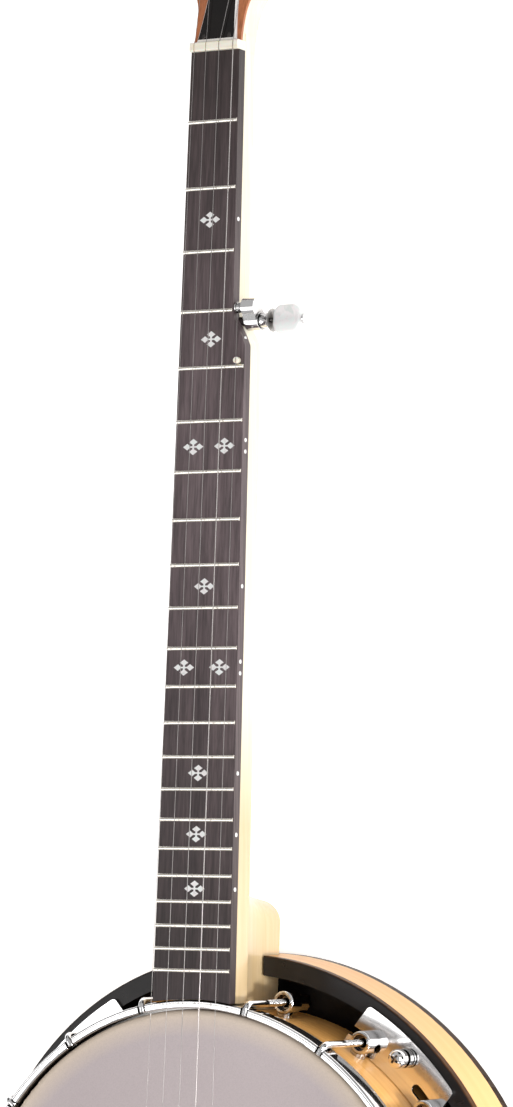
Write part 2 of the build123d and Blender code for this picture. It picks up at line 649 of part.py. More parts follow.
def make_inlays():
    """Face inlays and side dots."""
    shape = make_inlay()
    pieces = []
    for fret in INLAY_FRETS:
        distance = space_middle(fret)
        middle = board_middle(distance)
        offset = PAIR_OFFSETS.get(fret)
        places = (middle - offset, middle + offset) if offset else (middle,)
        pieces += [Pos(x, -distance, 0) * shape for x in places]
        dots = (-3, 3) if fret in PAIR_OFFSETS else (0,)
        for shift in dots:
            dot_d = distance + shift
            edge = right_edge(dot_d)
            pieces.append(rod((edge - 2.2, -dot_d, -2.9), (edge + 0.04, -dot_d, -2.9), 1.1))
    return pieces


def make_frets():
    """Fret wires with a half-round crown and a tang."""
    frets = []
    for number in range(1, FRET_COUNT + 1):
        distance = fret_distance(number)
        left, right = left_edge(distance) + 0.3, right_edge(distance) - 0.3
        crown = Ellipse(1.1, 1.0) & (Pos(0, 1) * Rectangle(4, 2))
        section = crown + Pos(0, -0.8) * Rectangle(0.6, 1.7)
        plane = Plane(origin=(left, -distance, 0), x_dir=(0, 1, 0), z_dir=(1, 0, 0))
        frets.append(extrude(plane * section, right - left))
    return frets


def make_fingerboard(frets, inlays):
    """Dark fingerboard, wider beyond the fifth peg, ending against the hoop."""
    ramp = [RAMP_START + step * (RAMP_END - RAMP_START) / 6 for step in range(7)]
    ramp_curve = Spline(
        *[(right_edge(distance), -distance) for distance in ramp],
        tangents=((0.0162, -1), (0.01625, -1)),
    )
    far = BOARD_END + 4
    edges = [
        Line((left_edge(far), -far), (left_edge(0), 0)),
        Line((left_edge(0), 0), (right_edge(0), 0)),
        Line((right_edge(0), 0), (right_edge(RAMP_START), -RAMP_START)),
        ramp_curve,
        Line((right_edge(RAMP_END), -RAMP_END), (right_edge(far), -far)),
        Line((right_edge(far), -far), (left_edge(far), -far)),
    ]
    board = extrude(Pos(0, 0, -BOARD_T) * make_face(edges), BOARD_T)
    pip_hole = rod((PIP_X, -PIP_D, -2), (PIP_X, -PIP_D, 1), PIP_R)
    board = board - frets - inlays - pip_hole - stud_bore()
    return NECK * board - drum(HOOP_OUT + 0.6, FLESH_BOTTOM - 1.2, 30)


def make_nut():
    """Slotted nut between fingerboard and peghead."""
    nut = Pos(PEG_CENTRE, 0, 2.3 - BOARD_T - 2.3) * Box(
        NUT_RIGHT - NUT_LEFT, NUT_LENGTH - 0.1, BOARD_T + 2.3, align=(Align.CENTER, Align.MIN, Align.MIN)
    )
    nut = fillet(nut.edges().filter_by(Axis.X).group_by(Axis.Z)[-1], 0.9)
    for number, x in enumerate(NUT_STRINGS):
        width = 2 * STRING_R[number] + 0.34
        nut -= Pos(x, 0, NUT_GROOVE - 0.04) * Box(width, 2 * NUT_BEND, 3, align=FLOOR_UP)
        slope = Pos(x, NUT_BEND - 0.3, NUT_GROOVE - 0.04) * Rot(-12, 0, 0)
        nut -= slope * Box(width, 4, 3, align=(Align.CENTER, Align.MIN, Align.MIN))
    return nut


def make_pip():
    """Small grooved post that stops the fifth string."""
    pip = rod((PIP_X, -PIP_D, -2), (PIP_X, -PIP_D, PIP_GROOVE + 0.6), PIP_R)
    pip = fillet(pip.edges().group_by(Axis.Z)[-1], 0.5)
    return pip - Pos(PIP_X, -PIP_D, PIP_GROOVE - 0.3) * Box(0.7, 6, 2, align=FLOOR_UP)


def make_truss_rod():
    """Truss rod in its slot, with its adjusting nut in the peghead pocket."""
    bar = Pos(0, NUT_LENGTH + 0.8, -BOARD_T - 0.1) * Box(
        5.6, 418, 9.2, align=(Align.CENTER, Align.MAX, Align.MAX)
    )
    nut_y = NUT_LENGTH + 0.8
    nut = hex_bar((0, nut_y, -BOARD_T - 4.6), (0, nut_y + 11, -BOARD_T - 4.6), 7)
    nut -= rod((0, nut_y + 4, -BOARD_T - 4.6), (0, nut_y + 11, -BOARD_T - 4.6), 2.2)
    return bar, nut


def make_cover():
    """Bell-shaped truss-rod cover."""
    side = ((10.9, 10), (9.6, 22), (8.4, 31), (4.6, 39.5), (0, 42.5))
    right = Spline((12.3, 0.3), *side)
    left = mirror(right, Plane.YZ)
    cover = extrude(make_face([right, left, Line(right @ 0, left @ 0)]), COVER_T)
    cover = chamfer(cover.edges().group_by(Axis.Z)[-1], COVER_BEVEL)
    for x, y in COVER_SCREWS:
        cover -= rod((x, y, -1), (x, y, 4), 1.0)
    return cover


def make_neck_assembly():
    """Save the neck and everything glued or screwed to it."""
    frets, inlays = make_frets(), make_inlays()
    save("neck", make_neck())
    save("fingerboard", make_fingerboard(frets, inlays))
    save("frets", *[NECK * fret for fret in frets])
    save("fingerboard_inlays", *[NECK * inlay for inlay in inlays])
    save("nut", NECK * make_nut())
    save("fifth_string_nut", NECK * make_pip())
    save("truss_rod", *[NECK * piece for piece in make_truss_rod()])
    veneer = extrude(Pos(0, 0, -VENEER_T) * peghead_outline(), VENEER_T)
    for side in (1, -1):
        for row in POST_ROWS:
            veneer -= rod((side * POST_X, row, -20), (side * POST_X, row, 2), 4.0)
    veneer = PEG_LOCAL * veneer - truss_channel() - above_nut_seat()
    save("peghead_veneer", NECK * veneer)
    save("truss_rod_cover", NECK * (PEG_LOCAL * make_cover()))
    screws = []
    for x, y in COVER_SCREWS:
        head = Pos(x, y, COVER_T) * Cylinder(1.3, 0.5, align=FLOOR_UP)
        head = fillet(head.edges().group_by(Axis.Z)[-1], 0.35)
        head += rod((x, y, 0.1), (x, y, COVER_T), 0.9)
        screws.append(NECK * (PEG_LOCAL * head))
    save("truss_cover_screws", *screws)


# ---------------------------------------------------------------- tuners
def make_case():
    """Die-cast gear case behind the peghead, for the +X side."""
    low, high = BACK_FACE - CASE_DEPTH, BACK_FACE
    body = Pos(1.6, WORM_OFFSET / 2 - 0.15, low) * Box(17, 19.4, CASE_DEPTH, align=FLOOR_UP)
    body = fillet(body.edges().filter_by(Axis.Z), 5.5)
    body = fillet(body.edges().group_by(Axis.Z)[0], 1.6)
    snout = rod((10, WORM_OFFSET, WHEEL_Z), (17, WORM_OFFSET, WHEEL_Z), 3.6)
    tab = Pos(0, -8.6, high) * Box(7, 8, 2.2, align=(Align.CENTER, Align.CENTER, Align.MAX))
    tab = fillet(tab.edges().filter_by(Axis.Z).group_by(Axis.Y)[0], 3.2)
    case = body + snout + tab
    case -= rod((0, 0, WHEEL_Z - 3.2), (0, 0, WHEEL_Z + 3.2), WHEEL_R + 0.4)
    case -= rod((0, 0, WHEEL_Z), (0, 0, high + 1), POST_R + 0.05)
    case -= rod((-6, WORM_OFFSET, WHEEL_Z), (10.4, WORM_OFFSET, WHEEL_Z), WORM_R + 0.3)
    case -= rod((8, WORM_OFFSET, WHEEL_Z), (19, WORM_OFFSET, WHEEL_Z), 1.55)
    return case - rod((0, -10.6, high - 5), (0, -10.6, high + 1), 1.05)


def make_post():
    """String post with its worm wheel, and the string's turns around it."""
    post = rod((0, 0, WHEEL_Z + 2.6), (0, 0, 6.2), POST_R)
    post += rod((0, 0, 6.2), (0, 0, 8.6), POST_R - 0.5)
    cap = Pos(0, 0, 8.6) * Cylinder(POST_R, 4.2, align=FLOOR_UP)
    post += fillet(cap.edges().group_by(Axis.Z)[-1], 1.0)
    post -= rod((-5, 0, 7.4), (5, 0, 7.4), 0.7)
    points = []
    for tooth in range(WHEEL_TEETH):
        for radius, share in ((WHEEL_R - 1, -0.28), (WHEEL_R, -0.14), (WHEEL_R, 0.14), (WHEEL_R - 1, 0.28)):
            angle = 2 * pi * (tooth + share) / WHEEL_TEETH
            points.append((radius * cos(angle), radius * sin(angle)))
    wheel = Pos(0, 0, WHEEL_Z - 2.6) * extrude(Polygon(*points, align=None), 5.2)
    turns = None
    for turn in range(4):
        loop = Pos(0, 0, 4.2 + turn * 0.42) * Torus(POST_R + 0.28, 0.24)
        turns = loop if turns is None else turns + loop
    return post, wheel, turns


def make_button():
    """Worm shaft and the flattened die-cast button, for the +X side."""
    shaft = rod((-5, WORM_OFFSET, WHEEL_Z), (9.6, WORM_OFFSET, WHEEL_Z), WORM_R)
    shaft += rod((9.6, WORM_OFFSET, WHEEL_Z), (22, WORM_OFFSET, WHEEL_Z), 1.5)
    collar = rod((17.3, WORM_OFFSET, WHEEL_Z), (21.5, WORM_OFFSET, WHEEL_Z), 2.8)
    paddle = Plane.XZ * extrude(RectangleRounded(16, 15, 6.4), 3.1, both=True)
    paddle = Pos(29, WORM_OFFSET, WHEEL_Z) * fillet(paddle.edges(), 1.6)
    return shaft + collar + paddle


def make_tuners():
    """Save four guitar-style tuners: cases, bushings, screws, posts and buttons."""
    peg = peg_plane()
    cases, bushings, screws = [], [], []
    case, button = make_case(), make_button()
    post, wheel, turns = make_post()
    bushing = extrude(RegularPolygon(5.2, 6, major_radius=False), 2.2) + Cylinder(6.2, 0.9, align=FLOOR_UP)
    bushing += rod((0, 0, BACK_FACE + 0.1), (0, 0, 0.5), 3.95)
    bushing -= rod((0, 0, BACK_FACE), (0, 0, 4), POST_R + 0.05)
    screw = rod((0, -10.6, BACK_FACE - 2.2), (0, -10.6, BACK_FACE), 1.0)
    screw += rod((0, -10.6, BACK_FACE - 3.2), (0, -10.6, BACK_FACE - 2.2), 1.9)
    for number, (side, row) in enumerate(TUNER_PLACES, 1):
        place = peg.location * Pos(side * POST_X, row, 0)
        sided_case = case if side > 0 else mirror(case, Plane.YZ)
        sided_button = button if side > 0 else mirror(button, Plane.YZ)
        cases.append(place * sided_case)
        bushings.append(place * bushing)
        screws.append(place * screw)
        save(f"tuner_post_{number}", *[place * piece for piece in (post, wheel, turns)])
        save(f"tuner_button_{number}", place * sided_button)
    save("tuner_cases", *cases)
    save("tuner_bushings", *bushings)
    save("tuner_screws", *screws)


def make_fifth_peg():
    """Save the geared fifth peg: case, spool, knob shaft and button."""
    spool, knob = (-SPOOL_D, SPOOL_Z), (-KNOB_D, KNOB_Z)

    def along(start_x, end_x, axis, radius):
        return rod((start_x, *axis), (end_x, *axis), radius)

    case_in, case_out = 20.8, 28.4
    cavity_in, cavity_out = case_in + 0.8, case_out - 0.8
    gear_in, gear_out = cavity_in + 0.3, cavity_out - 0.3
    case_r, cavity_r = 4.9, 4.45
    toward_knob = degrees(atan2(KNOB_Z - SPOOL_Z, SPOOL_D - KNOB_D))

    case = along(case_in, case_out + 0.6, knob, case_r) + along(case_in, case_out, spool, case_r)
    web = Pos(0, (spool[0] + knob[0]) / 2, (spool[1] + knob[1]) / 2) * Rot(toward_knob, 0, 0)
    case += web * Pos((case_in + case_out) / 2, 0, 0) * Box(case_out - case_in, FIFTH_AXES, 9.0)
    case += along(5, case_in, knob, FIFTH_STUD_R)
    case -= along(cavity_in, cavity_out, spool, cavity_r) + along(cavity_in, cavity_out, knob, cavity_r)
    case -= along(18, case_out + 1, knob, 1.56) + along(18, cavity_in, spool, 1.56)
    save("fifth_peg_case", NECK * case)

    flange_r, waist_r, turns_r = 3.1, 2.2, 2.7
    flange_t, reel_half = 0.7, 1.45
    reel_in, reel_out = REEL_MIDDLE - reel_half, REEL_MIDDLE + reel_half
    reel = along(reel_in - flange_t, reel_in, spool, flange_r) + along(reel_in, reel_out, spool, waist_r)
    reel += along(reel_out, reel_out + flange_t, spool, flange_r)
    reel += along(reel_out + flange_t, gear_in, spool, 1.5)
    reel += gear(
        SPOOL_TEETH, FIFTH_MODULE, gear_in, gear_out, *spool, toward_knob + 180 / SPOOL_TEETH
    )
    turns_in, turns_out = reel_in + 0.1, reel_out - 0.1
    turns = along(turns_in, turns_out, spool, turns_r) - along(turns_in, turns_out, spool, waist_r + 0.02)
    for groove in range(-2, 3):
        x = REEL_MIDDLE + 0.5 * groove
        turns -= Pos(x, *spool) * Rot(0, 90, 0) * Torus(turns_r + 0.1, 0.2)
    save("fifth_peg_spool", NECK * reel, NECK * turns)

    flare_in, flare_out = case_out + 1.1, 35.6
    shaft = along(19, flare_out, knob, 1.5)
    shaft += gear(PINION_TEETH, FIFTH_MODULE, gear_in, gear_out, *knob, toward_knob + 180)
    outline = make_face(
        [
            Line((flare_in, 0), (flare_in, 3.9)),
            RadiusArc((flare_in, 3.9), (flare_out, 6.2), -7),
            Line((flare_out, 6.2), (flare_out, 0)),
            Line((flare_out, 0), (flare_in, 0)),
        ]
    )
    flare = Pos(0, *knob) * revolve(outline, Axis.X)
    screw = along(flare_out, 54.6, knob, 1.2) + along(54.1, 55.3, knob, 2.4)
    save("fifth_peg_shaft", NECK * (shaft + flare + screw))
    button = Pos(45.7, *knob) * extrude(RectangleRounded(16.8, 15.5, 5.5), 3.6, both=True)
    button = fillet(button.edges(), 1.7)
    save("fifth_peg_button", NECK * (button - along(36, 57, knob, 1.25)))


make_pot()
make_resonator()
make_rods()
make_tailpiece()
make_bridge()
make_strings()
make_neck_assembly()
make_tuners()
make_fifth_peg()
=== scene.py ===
import math

import bpy
import bmesh
from mathutils import Matrix, Vector


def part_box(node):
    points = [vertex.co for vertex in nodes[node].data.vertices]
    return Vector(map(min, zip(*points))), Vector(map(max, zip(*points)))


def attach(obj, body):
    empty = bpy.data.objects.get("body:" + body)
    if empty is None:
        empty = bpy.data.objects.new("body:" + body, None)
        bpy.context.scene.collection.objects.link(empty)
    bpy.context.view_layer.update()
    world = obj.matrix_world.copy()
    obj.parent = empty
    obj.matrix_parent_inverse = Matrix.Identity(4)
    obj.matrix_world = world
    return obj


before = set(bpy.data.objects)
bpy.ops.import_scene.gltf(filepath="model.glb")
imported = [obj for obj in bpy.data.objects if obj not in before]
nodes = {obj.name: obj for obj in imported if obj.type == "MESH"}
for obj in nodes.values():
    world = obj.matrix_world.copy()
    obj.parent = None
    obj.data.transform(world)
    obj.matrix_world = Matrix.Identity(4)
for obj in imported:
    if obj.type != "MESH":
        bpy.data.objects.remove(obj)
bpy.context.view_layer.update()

# Looks of the five-string banjo, in metres, in the CAD's row frame: the resonator's back lies on
# the floor, +Z is out through the drum head, +Y up the neck and +X the fifth-string side.

# ---------------------------------------------------------------- driving values
MM = 0.001
HEAD_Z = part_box("drum_head")[1].z
RES_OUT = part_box("resonator_wall")[1].x
RIM_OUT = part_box("rim")[1].x
BACK_TURNS_BLACK = (2.8 * MM, 3.2 * MM)  # heights just under the resonator back's inner face
PEG_ANGLE = math.radians(14.2)          # within a few degrees of the peghead's tilt
PEG_NORMAL = Vector((0, math.sin(PEG_ANGLE), math.cos(PEG_ANGLE)))

# Drift of tone: its middle along +Y, then how far from there it starts and ends.
NECK_DRIFT = (0.60, 0.30, 0.365)
BOARD_DRIFT = (0.40, 0.06, 0.22)

HOOK_FIRST, HOOK_STEP = 12.7, 19.68     # degrees about the pot from the neck's centre line
HOOKS_A_SIDE = 9
WIDEST_HOOK = math.radians(HOOK_FIRST + 4 * HOOK_STEP)
SHOE_R = 6.0 * MM
HOOK_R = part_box("bracket_shoes")[1].x / math.sin(WIDEST_HOOK) - SHOE_R
THREAD_TOP = HEAD_Z - 18.3 * MM
THREAD_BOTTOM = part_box("bracket_shoes")[1].z - 2.0 * MM  # inside the shoe's round well
THREAD_CORE, THREAD_CREST, THREAD_PITCH = 1.58 * MM, 1.85 * MM, 0.8 * MM
THREAD_STEPS = 20                       # sides of one turn
WINDING = 0.25 * MM                     # pitch of the wound string's wire

FLOOR_R = 9.0
LIGHT_AIM = (0, 0.3, 0.05)
LIGHTS = (                              # name, place, aim, size and watts
    ("key", (1.9, 0.1, 2.2), LIGHT_AIM, (1.6, 1.6), 30),
    ("fill", (-1.8, -0.6, 2.0), LIGHT_AIM, (1.4, 2.0), 18),
    ("side", (2.1, -1.5, 0.35), (0, 0, 0.05), (0.5, 1.6), 36),
)
EDGE_PLACE, EDGE_AIM = (1.2, -0.15, 0.12), (0.165, 0.03, 0.0)
EDGE_CONE = 16                          # degrees
EDGE_SOFTNESS, EDGE_WATTS = 0.16, 115
WORLD_LIGHT = 0.5
CARD_ANGLES = (15, 75, 140, 205, 260, 320)  # degrees from +X
CARD_R, CARD_Z = 2.6, 0.8
CARD_SIZE = (1.3, 1.5)

CAMERA_AIM = Vector((0.0360, 0.3741, 0.081))
CAMERA_BACK = Vector((0.53635, -0.04800, 0.84263))
CAMERA_UP = Vector((0.01989, 0.99882, 0.04424))
CAMERA_DISTANCE = 2.674
CAMERA_LENS = 169.77

# Grain colours: dark, middle and light stops, from the grain's low values to its high ones.
MAPLE = ((0.30, (0.88, 0.75, 0.53)), (0.52, (0.94, 0.86, 0.67)), (0.75, (0.98, 0.93, 0.78)))
HEEL = ((0.30, (0.58, 0.41, 0.20)), (0.52, (0.64, 0.48, 0.275)), (0.75, (0.70, 0.56, 0.355)))
AMBER = ((0.30, (0.72, 0.32, 0.075)), (0.52, (0.90, 0.47, 0.14)), (0.75, (0.95, 0.60, 0.22)))
SIDE = ((0.30, (0.76, 0.400, 0.145)), (0.52, (0.80, 0.450, 0.182)), (0.75, (0.86, 0.52, 0.24)))
BOARD = ((0.30, (0.062, 0.042, 0.045)), (0.52, (0.122, 0.087, 0.092)), (0.75, (0.212, 0.157, 0.165)))
BOARD_ENDS = ((0.30, (0.023, 0.015, 0.015)), (0.52, (0.050, 0.033, 0.033)), (0.75, (0.096, 0.067, 0.067)))
VENEER = ((0.30, (0.34, 0.10, 0.035)), (0.52, (0.52, 0.17, 0.060)), (0.75, (0.68, 0.28, 0.12)))
RAW_MAPLE = ((0.30, (0.58, 0.38, 0.19)), (0.52, (0.70, 0.48, 0.26)), (0.75, (0.80, 0.60, 0.36)))
EBONY = ((0.30, (0.008, 0.006, 0.006)), (0.55, (0.020, 0.015, 0.014)), (0.80, (0.05, 0.04, 0.036)))
BLACK = (0.007, 0.005, 0.005)
PEARL_STOPS = (
    (0.32, (0.72, 0.74, 0.72)),
    (0.45, (0.90, 0.84, 0.84)),
    (0.58, (0.84, 0.88, 0.86)),
    (0.70, (0.93, 0.92, 0.90)),
)


# ---------------------------------------------------------------- material helpers
def new_material(name):
    """An empty material with its tree and its shader."""
    material = bpy.data.materials.new(name)
    material.use_nodes = True
    tree = material.node_tree
    return material, tree, tree.nodes["Principled BSDF"]


def add(tree, kind, inputs=None, **settings):
    """Add one node; inputs take numbers, colours or other nodes' sockets."""
    made = tree.nodes.new("ShaderNode" + kind)
    for key, value in settings.items():
        setattr(made, key, value)
    for key, value in (inputs or {}).items():
        if isinstance(value, bpy.types.NodeSocket):
            tree.links.new(value, made.inputs[key])
        else:
            made.inputs[key].default_value = value
    return made


def math_node(tree, operation, first, second=None):
    """One scalar sum."""
    inputs = {0: first}
    if second is not None:
        inputs[1] = second
    return add(tree, "Math", inputs, operation=operation).outputs[0]


def place(tree):
    """The point in the piece's own frame, which is the row frame at rest."""
    return add(tree, "TexCoord").outputs["Object"]


def stretched(tree, point, scale):
    """The point with each direction scaled."""
    return add(tree, "Mapping", {"Vector": point, "Scale": scale}).outputs[0]


def coordinates(tree, point):
    """The point's three coordinates."""
    return add(tree, "SeparateXYZ", {0: point}).outputs


def pot_radius(tree, point):
    """Distance from the pot's axis."""
    x, y, _ = coordinates(tree, point)
    squares = [math_node(tree, "POWER", side, 2.0) for side in (x, y)]
    return math_node(tree, "SQRT", math_node(tree, "ADD", *squares))


def round_point(tree, point):
    """The point unrolled: arc length about the pot's axis, radius and height."""
    x, y, z = coordinates(tree, point)
    arc = math_node(tree, "MULTIPLY", math_node(tree, "ARCTAN2", x, y), RIM_OUT)
    return add(tree, "CombineXYZ", {0: arc, 1: pot_radius(tree, point), 2: z}).outputs[0]


def noise(tree, point, scale, detail=4.0, roughness=0.55, distortion=0.0):
    """Noise value from 0 to 1."""
    inputs = {"Vector": point, "Scale": scale, "Detail": detail}
    inputs.update({"Roughness": roughness, "Distortion": distortion})
    return add(tree, "TexNoise", inputs).outputs[0]


def ramp(tree, value, stops):
    """Colour ramp from (position, colour) pairs."""
    made = add(tree, "ValToRGB", {0: value})
    elements = made.color_ramp.elements
    for index, (position, colour) in enumerate(stops):
        element = elements[index] if index < 2 else elements.new(position)
        element.position = position
        element.color = (*colour, 1)
    return made.outputs[0]


def spread(tree, value, low, high, start=0.0, end=1.0):
    """Map a value from start..end to low..high, held at the ends."""
    inputs = {0: value, 1: start, 2: end, 3: low, 4: high}
    return add(tree, "MapRange", inputs).outputs[0]


def mix(tree, share, first, second, blend="MIX"):
    """Blend two colours."""
    made = add(tree, "Mix", {0: share}, data_type="RGBA", blend_type=blend)
    for index, value in ((6, first), (7, second)):
        if isinstance(value, bpy.types.NodeSocket):
            tree.links.new(value, made.inputs[index])
        else:
            made.inputs[index].default_value = (*value, 1)
    return made.outputs[2]


def shaded(tree, colour, shade):
    """The colour multiplied by a grey value."""
    grey = add(tree, "CombineColor", {0: shade, 1: shade, 2: shade}).outputs[0]
    return mix(tree, 1.0, colour, grey, "MULTIPLY")


def bump(tree, shader, height, strength, distance, edge=0.0):
    """Feed a height into the shader's normal; edge is the radius that eases the edges, if any."""
    inputs = {"Height": height, "Strength": strength, "Distance": distance}
    if edge:
        inputs["Normal"] = add(tree, "Bevel", {"Radius": edge}, samples=4).outputs[0]
    tree.links.new(add(tree, "Bump", inputs).outputs[0], shader.inputs["Normal"])


def link(tree, socket, shader, name):
    """Feed a socket into the shader."""
    tree.links.new(socket, shader.inputs[name])


def fix(shader, **values):
    """Set constants on the shader's own sockets."""
    for name, value in values.items():
        shader.inputs[name.replace("_", " ")].default_value = value


# ---------------------------------------------------------------- woods
def grain_colours(tree, point, along, stops, pores):
    """Broad grain, fine fibres and short pores, all long in one direction."""
    broad_scale = tuple(3.0 if axis == along else 60.0 for axis in "xyz")
    fine_scale = tuple(12.0 if axis == along else 700.0 for axis in "xyz")
    broad = noise(tree, stretched(tree, point, broad_scale), 1.0, 5.0, 0.6, 0.8)
    fine = noise(tree, stretched(tree, point, fine_scale), 1.0, 3.0, 0.7)
    shares = [math_node(tree, "MULTIPLY", grain, share) for grain, share in ((broad, 0.72), (fine, 0.28))]
    colour = ramp(tree, math_node(tree, "ADD", *shares), stops)
    return shaded(tree, colour, spread(tree, fine, 1.0 - pores, 1.0, 0.25, 0.6)), fine


def wood_parts(
    name, stops, along="y", round_grain=False, pores=0.12, rough=(0.28, 0.42), coat=0.6, relief=0.06 * MM
):
    """Grained wood under lacquer or oil, with its tree, shader and colour for further work."""
    material, tree, shader = new_material(name)
    point = place(tree)
    if round_grain:
        point = round_point(tree, point)
    colour, fine = grain_colours(tree, point, along, stops, pores)
    link(tree, colour, shader, "Base Color")
    link(tree, spread(tree, fine, rough[1], rough[0]), shader, "Roughness")
    bump(tree, shader, fine, 0.35, relief)
    fix(shader, Coat_Weight=coat, Coat_Roughness=0.09)
    return material, tree, shader, colour


def wood(name, stops, **settings):
    """Grained wood of one tone."""
    return wood_parts(name, stops, **settings)[0]


def two_tone_wood(name, tones, drift, pores, **settings):
    """Wood whose tone drifts from one place along the neck towards both ends."""
    material, tree, shader, colour = wood_parts(name, tones[0], pores=pores, **settings)
    middle, near, far = drift
    point = place(tree)
    along_neck = coordinates(tree, point)[1]
    away = math_node(tree, "ABSOLUTE", math_node(tree, "SUBTRACT", along_neck, middle))
    other = grain_colours(tree, point, "y", tones[1], pores)[0]
    link(tree, mix(tree, spread(tree, away, 0.0, 1.0, near, far), colour, other), shader, "Base Color")
    return material


def resonator_wall_wood():
    """Lacquered maple outside, black lacquer inside and on the cut ends."""
    name = "resonator_maple_and_black"
    material, tree, shader, colour = wood_parts(name, SIDE, "x", round_grain=True, pores=0.06)
    radius = pot_radius(tree, place(tree))
    outside = spread(tree, radius, 0.0, 1.0, RES_OUT - 0.4 * MM, RES_OUT - 0.2 * MM)
    link(tree, mix(tree, outside, BLACK, colour), shader, "Base Color")
    fix(shader, Coat_Weight=0.1, Specular_IOR_Level=0.2)
    return material


def resonator_back_wood():
    """Lacquered maple outside, black lacquer on the face that looks into the pot."""
    material, tree, shader, colour = wood_parts("resonator_back_maple_and_black", SIDE, pores=0.06)
    height = coordinates(tree, place(tree))[2]
    inside = spread(tree, height, 0.0, 1.0, *BACK_TURNS_BLACK)
    link(tree, mix(tree, inside, colour, BLACK), shader, "Base Color")
    fix(shader, Coat_Weight=0.1, Specular_IOR_Level=0.2)
    return material


def front_band():
    """Black top face over a dark tortoise-brown edge."""
    material, tree, shader = new_material("front_band_black")
    point = place(tree)
    radius = pot_radius(tree, point)
    cloud = noise(tree, point, 90.0, 4.0, 0.6, 1.2)
    peel = noise(tree, point, 420.0, 2.0)
    edge = spread(tree, radius, 0.0, 1.0, RES_OUT - 0.6 * MM, RES_OUT - 0.1 * MM)
    brown = ramp(tree, cloud, ((0.3, (0.030, 0.012, 0.005)), (0.7, (0.105, 0.042, 0.014))))
    link(tree, mix(tree, edge, BLACK, brown), shader, "Base Color")
    link(tree, spread(tree, cloud, 0.24, 0.34), shader, "Roughness")
    link(tree, spread(tree, edge, 0.3, 0.05), shader, "Specular IOR Level")
    bump(tree, shader, peel, 0.08, 0.05 * MM)
    return material


# ---------------------------------------------------------------- metals
def metal(name, colour, rough, brushed=0.0, along="y", edge=0.2 * MM, painted_shade=0.0):
    """Plated or bare metal: faint haze, fine brushing, eased edges and, when asked, painted shade that
    darkens corners and hollows.
    """
    material, tree, shader = new_material(name)
    point = place(tree)
    haze = noise(tree, point, 25.0, 4.0, 0.6)
    scratch_scale = tuple(40.0 if axis == along else 2600.0 for axis in "xyz")
    scratch = noise(tree, stretched(tree, point, scratch_scale), 1.0, 2.0, 0.8)
    dull = tuple(value * 0.95 for value in colour)
    plate = ramp(tree, haze, ((0.3, dull), (0.6, colour)))
    if painted_shade:
        # Painted shade: ambient occlusion darkens the plating towards a dark colour in corners, wells and
        # near contacts.
        open_air = add(tree, "AmbientOcclusion", {"Distance": 7 * MM}, samples=6).outputs["AO"]
        painted_shade_colour = tuple(value * (1 - painted_shade) for value in (0.30, 0.24, 0.20))
        plate = mix(tree, spread(tree, open_air, 0.0, 1.0, 0.25, 0.85), painted_shade_colour, plate)
    link(tree, plate, shader, "Base Color")
    link(tree, spread(tree, haze, rough[0], rough[1]), shader, "Roughness")
    bump(tree, shader, scratch, 0.004 + brushed, 0.01 * MM, edge)
    fix(shader, Metallic=1.0)
    return material


def wound_string():
    """Steel core under a close winding of fine wire, with painted shade in the grooves between turns."""
    material, tree, shader = new_material("wound_string_nickel")
    along_neck = coordinates(tree, place(tree))[1]
    turns = math_node(tree, "SINE", math_node(tree, "MULTIPLY", along_neck, 2 * math.pi / WINDING))
    shade = spread(tree, turns, 0.0, 1.0, -1.0, 1.0)
    # Painted shade: the colour darkens in the grooves between wire turns and lightens on their crests.
    colour = ramp(tree, shade, ((0.0, (0.40, 0.37, 0.36)), (0.8, (0.85, 0.80, 0.77))))
    link(tree, colour, shader, "Base Color")
    link(tree, spread(tree, shade, 0.45, 0.32), shader, "Roughness")
    bump(tree, shader, shade, 0.3, 0.05 * MM)
    fix(shader, Metallic=1.0)
    return material


# ---------------------------------------------------------------- head, bone, pearl and plastic
def frosted_head():
    """Sprayed frosted film: grey, with a warmer and lighter ring near the hoop."""
    material, tree, shader = new_material("frosted_film")
    point = place(tree)
    radius = pot_radius(tree, point)
    speckle = noise(tree, point, 1500.0, 2.0, 0.7)
    cloud = noise(tree, point, 9.0, 3.0)
    middle = ramp(tree, cloud, ((0.3, (0.490, 0.420, 0.424)), (0.7, (0.535, 0.463, 0.466))))
    edge = ramp(tree, cloud, ((0.3, (0.66, 0.545, 0.435)), (0.7, (0.72, 0.60, 0.49))))
    share = spread(tree, radius, 0.0, 1.0, RIM_OUT - 13 * MM, RIM_OUT - 1 * MM)
    grain = spread(tree, speckle, 0.90, 1.0, 0.3, 0.6)
    link(tree, shaded(tree, mix(tree, share, middle, edge), grain), shader, "Base Color")
    link(tree, spread(tree, speckle, 0.5, 0.7), shader, "Roughness")
    bump(tree, shader, speckle, 0.35, 0.08 * MM)
    fix(shader, Specular_IOR_Level=0.35)
    return material


def bone():
    """Polished cream bone with faint streaks."""
    material, tree, shader = new_material("polished_bone")
    point = place(tree)
    streak = noise(tree, stretched(tree, point, (40.0, 300.0, 300.0)), 1.0)
    colour = ramp(tree, streak, ((0.3, (0.90, 0.82, 0.66)), (0.7, (0.97, 0.93, 0.83))))
    link(tree, colour, shader, "Base Color")
    link(tree, spread(tree, streak, 0.25, 0.4), shader, "Roughness")
    bump(tree, shader, streak, 0.1, 0.03 * MM)
    fix(shader, Subsurface_Weight=0.15, Subsurface_Scale=2 * MM)
    return material


